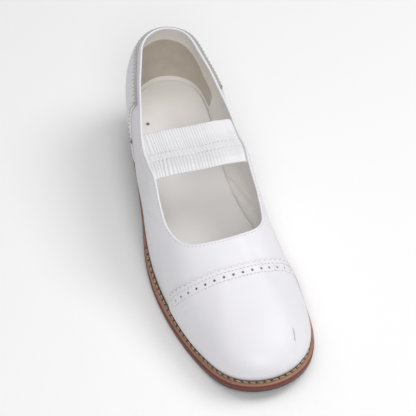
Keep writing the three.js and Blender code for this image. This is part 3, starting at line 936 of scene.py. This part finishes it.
def heel_counter(columns=420, rows=100):
    """Columns of t and rise for the counter, and its border from the outer foot to the inner one."""
    def before_front(point):
        return point[..., 0] - read(COUNTER_FRONT, "along", point[..., 2], by="height")

    def above(point):
        return point[..., 2] - read(TOPLINE, "height", point[..., 0]) + COUNTER_UNDER

    def front_edge(low, high):
        """t and rise along one front edge, from the foot to the corner."""
        top = 0.5
        for _ in range(6):
            t = crossing(low, high, top, before_front)
            top = first_rise(np.array([t]), 0, above)[0]
        rise = np.linspace(OVERLAY_FOOT, top, rows)
        return np.array([crossing(low, high, level, before_front) for level in rise]), rise

    inner, inner_rise = front_edge(0.0, TOE)
    outer, outer_rise = front_edge(1.0, TOE)
    outer = outer - 1
    t = mix(outer, inner, eased(columns)[:, None])
    rim = first_rise(t[:, -1], 0, above)
    rise = mix(OVERLAY_FOOT, rim[:, None], np.linspace(0, 1, rows))
    line = np.stack([np.concatenate([outer[:-1], t[:, -1], inner[::-1][1:]]),
                     np.concatenate([outer_rise[:-1], rim, inner_rise[::-1][1:]])], -1)
    run = lengths_of(form(*line.T))
    return t, rise, along_line(line, run, np.linspace(0, run[-1], 1600)).T


TAN_THREAD = sewing_thread("tan_thread", "#bfa584", "#6a5040")
counter_t, counter_rise, counter_border = heel_counter()
fix(overlay("heel_counter_leather", counter_t, counter_rise, counter_border, (COUNTER_STITCH_ROW,),
            COUNTER_HOLE_ROW, hole_near=(57.0, -31.0, 70.0)), "upper_leather", "heel_counter")
fix(thread_row(
    "counter_thread", counter_border, COUNTER_STITCH_ROW, pitch=2.9, length=1.9, radius=0.27,
    finish=TAN_THREAD,
), "upper_leather")


# Instep strap: elastic webbing under thin white leather, gathered as it is sewn along the middle by two
# rows of stitches. Its ends are sewn in under the topline on both sides.
STRAP_REAR_OUT, STRAP_REAR_IN, STRAP_FRONT_OUT, STRAP_FRONT_IN = 85.8, 88.2, 122.2, 123.6
STRAP_TAIL, STRAP_SAG, STRAP_THICKNESS = 12.0, 1.5, 1.6
GATHER_REAR, GATHER_FRONT, GATHER_DEPTH = 1.7, 2.05, 0.46
# The two sewn rows, as shares of the strap's width from its rear edge
SEWN_ROWS, NEEDLE_PITCH = (0.44, 0.61), 2.55
STRAP_THREAD = sewing_thread("white_thread", "#ececee", "#d2d1d4")


def topline_at(along, low, high):
    """The t between two others at which the topline passes a place along the foot."""
    line = form(rim_t, rim_rise)[:, 0]
    side = (rim_t > min(low, high)) & (rim_t < max(low, high))
    order = np.argsort(line[side])
    return float(np.interp(along, line[side][order], rim_t[side][order]))


def strap_path(f, steps):
    """The strap's middle line at a share f of its width, from the inner to the outer side. It leaves both
    quarters under the topline, where its tails are sewn in between upper and lining."""
    ends = (topline_at(mix(STRAP_REAR_IN, STRAP_FRONT_IN, f), 0.1, 0.34),
            topline_at(mix(STRAP_REAR_OUT, STRAP_FRONT_OUT, f), 0.9, 0.66))

    def tail(t, depth):
        t = np.array([t])
        top = topline_rise(t)
        rise = top - depth / np.linalg.norm(form(t, top) - form(t, top - 0.1)) * 0.1
        out = -WALL / 2 if depth > 3 else -WALL - GAP - 0.2 - STRAP_THICKNESS / 2
        return skin(t, rise, out)[0]

    first, last = tail(ends[0], 1), tail(ends[1], 1)
    k = np.linspace(0, 1, 13)[1:-1]
    span = mix(first, last, k[:, None])
    span[:, 2] += 2.2 * np.minimum(1, 6 * k * (1 - k)) - STRAP_SAG * 4 * k * (1 - k)
    knots = np.array([
        tail(ends[0], STRAP_TAIL), tail(ends[0], STRAP_TAIL / 2), first, *span, last,
        tail(ends[1], STRAP_TAIL / 2), tail(ends[1], STRAP_TAIL)])
    return smooth_line(knots, steps)


def gathered_leather():
    """Thin white sheep leather over elastic: soft and nearly matte, with painted shade deep in its folds
    and in its needle holes.
    """
    finish, tree, _, place = new_finish("gathered_leather", 0.55)
    white = tint(tree, clouds(tree, place, 0.01, 4.0), "#e4e4e7", "#ededf0")
    # Painted shade, greyer, deep in the pleats' valleys
    folded = tint(tree, mark(tree, "fold"), white, "#d4d2d5")
    # Painted shade in the needle holes
    holed = tint(tree, mark(tree, "pricked"), folded, "#7f766e")
    return coat(finish, holed, clouds(tree, place, 0.0012, 2.0), 0.25, 0.0002)


def gathers(run, pitch, drift, beat, wander):
    """Pleats across the run, unevenly apart, as narrow valleys between rounded crests."""
    phase = run / pitch + drift * np.sin(beat * run) + wander
    return (0.5 + 0.5 * np.cos(2 * math.pi * phase)) ** 1.3


def strap(rows=76, steps=570):
    """A band of many points across and along. Its pleats are deep behind and before the sewn rows, low
    between them, and fade out where the band goes under the inner quarter."""
    paths = np.array([strap_path(f, steps) for f in np.linspace(0, 1, 9)])
    trial = np.linspace(0, 1, 1001)
    density = 1 + sum(3 * np.exp(-((trial - row) / 0.02) ** 2) for row in SEWN_ROWS)
    f = np.interp(np.linspace(0, 1, rows + 1), np.cumsum(density) / density.sum(), trial)
    f[0], f[-1] = 0, 1
    place = np.clip(f * 8, 0, 7.999999)
    i = place.astype(int)
    path = mix(paths[i], paths[i + 1], (place - i)[:, None, None])
    normal = unit(np.cross(np.gradient(path, axis=1), np.array([1.0, 0, 0])))
    run = lengths_of(path)
    k = run / run[:, -1:]
    width = f[:, None]
    wander = 0.10 * np.sin(6 * width + 0.5 * run) + 0.12 * np.sin(3.1 * width - 0.31 * run + 1.3)
    rear = gathers(run, GATHER_REAR, 0.25, 0.43, wander)
    front = gathers(run, GATHER_FRONT, 0.3, 0.37, wander)
    phase = run / NEEDLE_PITCH + 2.2 * width + 0.2 * np.sin(0.7 * run)
    puckers = 0.4 + 0.35 * np.cos(2 * math.pi * phase)
    behind = 1 - step_up(width, SEWN_ROWS[0] - 0.01, SEWN_ROWS[0] + 0.03)
    ahead = step_up(width, SEWN_ROWS[1] - 0.03, SEWN_ROWS[1] + 0.01)
    waves = behind * rear + ahead * front + (1 - behind - ahead) * puckers
    pressed = sum(np.exp(-((width - row) / 0.02) ** 2) for row in SEWN_ROWS)
    fade = mix(0.12, 1, step_up(k, 0.26, 0.46)) * step_up(k, 0.13, 0.16) * (1 - step_up(k, 0.84, 0.87))
    uneven = 0.8 + 0.2 * np.sin(0.9 * run + 3 * width)
    depth = GATHER_DEPTH * fade * uneven * (1 - 0.5 * pressed)
    # Needle holes of the sewn rows: dents that are also given painted shade
    needle = np.zeros(run.shape)
    for row, start in zip(SEWN_ROWS, (0.0, 1.2)):
        beside = (np.mod(run + start, NEEDLE_PITCH) - NEEDLE_PITCH / 2) / 0.36
        needle = needle + np.exp(-(beside ** 2 + ((width - row) / 0.011) ** 2) ** 2)
    needle = needle * step_up(k, 0.14, 0.17) * (1 - step_up(k, 0.83, 0.86))
    half = STRAP_THICKNESS / 2 * (1 - 0.75 * np.abs(2 * width - 1) ** 14)
    out = half + 0.25 - depth * waves - 0.16 * pressed - 0.3 * needle
    over = path + normal * out[..., None]
    under = path - normal * (half - 0.2 * depth * waves)[..., None]
    frill = 0.15 * depth * waves / GATHER_DEPTH * np.sign(width - 0.5) * np.abs(2 * width - 1) ** 10
    over[..., 0] -= frill
    under[..., 0] -= frill
    below = np.zeros(under.shape[:2])
    # The first mark is painted shade in the pleats' valleys; the second is painted shade in the needle
    # holes
    piece = loft("gathered_strap", np.concatenate([over, under[:, ::-1]], 1), [gathered_leather()],
                 fold=np.concatenate([0.9 * fade * waves ** 2, below], 1),
                 pricked=np.concatenate([needle, below], 1))
    shown = (k[0] > 0.15) & (k[0] < 0.85)
    lines = [np.argmin(np.abs(f - row)) for row in SEWN_ROWS]
    return piece, [(over[n][shown], normal[n][shown]) for n in lines]


strap_piece, strap_lines = strap()
fix(strap_piece, "strap_elastic", "strap")
for i, (line, normals) in enumerate(strap_lines):
    fix(stitches(
        f"strap_thread_{i + 1}", line, normals, NEEDLE_PITCH, length=1.7, radius=0.17, finish=STRAP_THREAD,
    ), "strap_elastic")


# Welt: a strip of tan leather round the upper, sewn through the insole rib and then to the outsole with a
# thick cream thread that lies in a groove beside the upper.
SOLE_EDGE = table(
    "along inner outer",
    (0, 1.8, 1.8),
    (60, 1.8, 1.8),
    (100, 1.6, 1.6),
    (135, 4.2, 3.2),
    (165, 5.6, 3.9),
    (200, 3.7, 3.4),
    (258, 4.2, 4.4),
)
WELT_STITCH, WELT_STITCH_LENGTH, WELT_THREAD_RADIUS = 4.5, 3.75, 0.55
SEAM_OUT, SEAM_HALF = 1.15, 0.8
WELT_ROUNDING = 0.7


def sole_edge(t):
    return both_sides(SOLE_EDGE, "inner", "outer", t)


def welt_leather():
    """Vegetable-tanned leather, skived and left natural: tan, dull, with a cut outer edge that is stained
    brown. Painted shade darkens the seam's groove, its needle holes and the crease against the upper."""
    finish, tree, _, place = new_finish("welt_leather", 0.6)
    tan = tint(tree, clouds(tree, place, 0.005, 5.0, 0.65), "#8c6450", "#b88c74")
    stained = tint(tree, mark(tree, "stain"), tan, "#7a3f2c")
    # Painted shade in the seam's groove, its needle holes and the crease by the upper
    shaded = tint(tree, mark(tree, "dark"), stained, "#33221c")
    return coat(finish, shaded, clouds(tree, place, 0.0009, 3.0), 0.3, 0.0003)


def sewn_share(t):
    """1 where the welt is wide enough to be stitched."""
    return step_up(sole_edge(t), 2.3, 2.8)


def welt(columns=1700):
    """The strip, with its rounded rim, the groove and the needle holes of its seam, and the crease where it
    meets the upper. Also gives t and the distance along the feather line for each column, the length of
    that line and the number of stitches that it has room for."""
    t = np.linspace(0, 1, 4001)
    run = lengths_of(form(t, -1.0 + 0 * t))
    at = np.arange(columns) * run[-1] / columns
    t = np.interp(at, run, t)
    along = feather(t)[:, 0]
    sewn = sewn_share(t)[:, None]
    count = round(run[-1] / WELT_STITCH)
    from_hole = np.abs(np.mod(at / run[-1] * count + 0.5, 1) - 0.5) * WELT_STITCH
    hole = np.clip(1 - from_hole / WELT_THREAD_RADIUS, 0, 1)[:, None] ** 0.5
    out = (sole_edge(t) - 0.2)[:, None]
    share = np.linspace(0, 1, 26)
    offset = mix(out, GAP / 2, share)
    rounding = np.clip(WELT_ROUNDING - (out - offset), 0, WELT_ROUNDING)
    drop = WELT_ROUNDING - np.sqrt(WELT_ROUNDING ** 2 - rounding ** 2)
    groove = np.clip(1 - ((offset - SEAM_OUT) / SEAM_HALF) ** 2, 0, 1) * sewn
    crease = np.exp(-((offset - GAP / 2) / 0.35) ** 2)
    top = welt_top(along)[:, None] - drop - groove * (0.45 + 0.75 * hole) - 0.7 * crease
    over = np.concatenate([edge(t[:, None] + 0 * offset, offset), top[..., None]], -1)
    under_plan = edge(t[:, None] + 0 * offset, offset - 0.15 * (1 - share))
    base = outsole_top(along)[:, None] + 0.12 + 0 * offset
    under = np.concatenate([under_plan, base[..., None]], -1)
    loops = np.concatenate([under[:, :1], over, under[:, ::-1][:, :-1]], 1)
    first, last = np.zeros((columns, 1)), np.zeros((columns, 25))
    # Painted shade: in the seam's groove, deepest at the needle holes, and in the crease against the upper
    dark = np.clip(groove * (0.25 + 0.75 * hole) + 0.9 * crease, 0, 1)
    piece = loft("welt_strip", loops, [welt_leather()], ring=True,
                 stain=np.concatenate([first + 1, step_up(drop, 0.15, 0.6), last + 1], 1),
                 dark=np.concatenate([first, dark, last], 1))
    return piece, t, at, run[-1], count


welt_piece, welt_t, welt_at, welt_length, welt_count = welt()
fix(welt_piece, "welt_leather", "welt")


def welt_thread():
    """The seam from one end of the wide part of the welt round the toe to the other."""
    sewn = np.flatnonzero(sewn_share(welt_t) > 0.5)
    pitch = welt_length / welt_count
    begin = math.ceil(welt_at[sewn[0]] / pitch) * pitch
    end = math.floor(welt_at[sewn[-1]] / pitch) * pitch
    t = np.interp(np.linspace(begin, end, 3000), welt_at, welt_t)
    height = welt_top(feather(t)[:, :1]) - 0.2
    line = np.concatenate([edge(t, SEAM_OUT + 0 * t), height], 1)
    count = round((end - begin) / pitch)
    return stitches(
        "welt_thread", line, np.tile([0.0, 0.0, 1.0], (len(t), 1)),
        pitch=lengths_of(line)[-1] / (count + 1e-6), length=WELT_STITCH_LENGTH, radius=WELT_THREAD_RADIUS,
        finish=sewing_thread("cream_waxed_thread", "#d3c4ac", "#96836b"), twist=0.12, slant=0.2)


fix(welt_thread(), "welt_leather")


# Outsole: one piece of oak-bark leather, cut flush with the welt. Its edge is stained brown, waxed and
# ironed, and its underside is stained darker.
def sole_leather():
    """Firm leather seen from its cut edge: brown stain under wax, a redder line at its upper rim, and
    painted shade, almost black, along its lower rim and over the stained underside, with a low shine and
    fine marks of the edge iron."""
    finish, tree, _, place = new_finish("sole_leather", 0.4)
    stretched = add(tree, "ShaderNodeMapping", {"Vector": place, "Scale": (1.0, 1.0, 6.0)})
    ironed = clouds(tree, stretched.outputs["Vector"], 0.004, 5.0, 0.7)
    brown = tint(tree, ironed, "#472620", "#6b3c32")
    level = mark(tree, "level")
    # Painted shade: almost black along the lower rim, where the edge turns under, and over the underside
    lower = tint(tree, ramp(tree, level, 0.0, 0.3, 1.0, 0.0), brown, "#241612")
    upper_line = tint(tree, ramp(tree, level, 0.7, 1.0), lower, "#7a3526")
    return coat(finish, upper_line, ironed, 0.3, 0.0004)


SOLE_LEATHER = sole_leather()
fix(plate(
    "outsole_leather", [SOLE_LEATHER],
    out=lambda t, level: sole_edge(t) - 0.3 * (1 - level),
    top=lambda along: outsole_top(along) + 0.1,
    bottom=ground_at,
    roundness=0.5,
    rungs=300,
), "sole_leather", "outsole")


# Heel: three leather lifts, nailed and glued into a stack, and a rubber top piece that meets the floor.
# The stack is sanded, stained like the sole edge, and narrows a little downwards.
TOP_PIECE, LIFTS, HEEL_BREAST = 6.0, 3, 60
HEEL_INSET, HEEL_TAPER = 0.6, 0.06
seat_height = float(ground_at(np.array(HEEL_BREAST))) - GAP
lift_height = (seat_height - TOP_PIECE) / LIFTS


def taper(low, high):
    """The side of one layer of the heel, from its lower to its upper height."""
    def out(t, level):
        under_seat = ground_at(np.array(0.0)) - mix(low, high, level)
        return sole_edge(t) - HEEL_INSET - HEEL_TAPER * under_seat
    return out


def level_at(height):
    return lambda along: height + 0 * along


def heel_rubber():
    """Moulded black-brown rubber, matte, with a fine pebble left by the mould."""
    finish, tree, _, place = new_finish("heel_rubber", 0.75, 1.52)
    dusty = tint(tree, clouds(tree, place, 0.008, 4.0), "#2a1f1b", "#40332d")
    return coat(finish, dusty, pores(tree, place, 0.001), 0.3, 0.0002)


for i in range(LIFTS):
    low = TOP_PIECE + lift_height * i
    last = i == LIFTS - 1
    high = seat_height if last else low + lift_height
    fix(plate(
        f"lift_{i + 1}", [SOLE_LEATHER], out=taper(low, high), top=ground_at if last else level_at(high),
        bottom=level_at(low), roundness=0.25, rungs=90, steps=12, until=HEEL_BREAST,
    ), "sole_leather", f"heel_lift_{i + 1}")

fix(plate(
    "rubber_top_piece", [heel_rubber()], out=taper(0, TOP_PIECE), top=level_at(TOP_PIECE),
    bottom=level_at(0), roundness=0.5, rungs=90, steps=12, until=HEEL_BREAST,
), "heel_rubber", "heel_top_piece")


# Studio: a pale floor and three large soft lights, from the right, from above and from the front. The
# camera stands at the photo's angle.
FLOOR_HALF = 3.0


def floor():
    mesh = bpy.data.meshes.new("floor")
    corners = [(x * FLOOR_HALF, y * FLOOR_HALF, 0) for x, y in ((-1, -1), (1, -1), (1, 1), (-1, 1))]
    mesh.from_pydata(corners, [], [(0, 1, 2, 3)])
    paper, tree, shader, place = new_finish("backdrop_paper", 0.9)
    tone = tint(tree, clouds(tree, place, 1 / 3, 2.0), "#fbfbfb", "#fdfdfd")
    tree.links.new(tone, shader.inputs["Base Color"])
    mesh.materials.append(paper)
    return put("floor", mesh)


floor()

LIGHT_TARGET = Vector((0, 0, 0.03))


def softbox(name, place, width, power):
    lamp = bpy.data.lights.new(name, "AREA")
    lamp.shape = "DISK"
    lamp.size = width
    lamp.energy = power
    made = put(name, lamp)
    made.location = place
    made.rotation_euler = (LIGHT_TARGET - Vector(place)).to_track_quat("-Z", "Y").to_euler()


softbox("key_light", (0.75, -0.05, 1.15), 0.7, 6.3)
softbox("top_light", (-0.02, 0.10, 1.55), 0.8, 3.6)
softbox("front_light", (-0.15, -1.1, 1.25), 0.8, 8.5)

world = bpy.data.worlds.new("studio")
bpy.context.scene.world = world
world.use_nodes = True
sky = world.node_tree.nodes["Background"]
sky.inputs["Color"].default_value = linear("#ffffff")
sky.inputs["Strength"].default_value = 0.34
bpy.context.scene.view_settings.view_transform = "Standard"

CAMERA_PLACE = Vector((-0.2230, -0.8735, 1.0369))
CAMERA_AIM = Vector((0.0, -0.002, 0.038))
CAMERA_ROLL = math.radians(-2.10)
# The field of view: the width of the sensor in mm, and how many times as long the lens is
SENSOR, LENS_RATIO = 36.0, 2150 / 416


def camera():
    data = bpy.data.cameras.new("camera")
    data.sensor_width = SENSOR
    data.lens = SENSOR * LENS_RATIO
    made = put("camera", data)
    back = (CAMERA_PLACE - CAMERA_AIM).normalized()
    right = (-back).cross(Vector((0, 0, 1))).normalized()
    turn = Matrix((right, right.cross(-back), back)).transposed().to_4x4()
    made.matrix_world = Matrix.Translation(CAMERA_PLACE) @ turn @ Matrix.Rotation(CAMERA_ROLL, 4, "Z")
    bpy.context.scene.camera = made


camera()
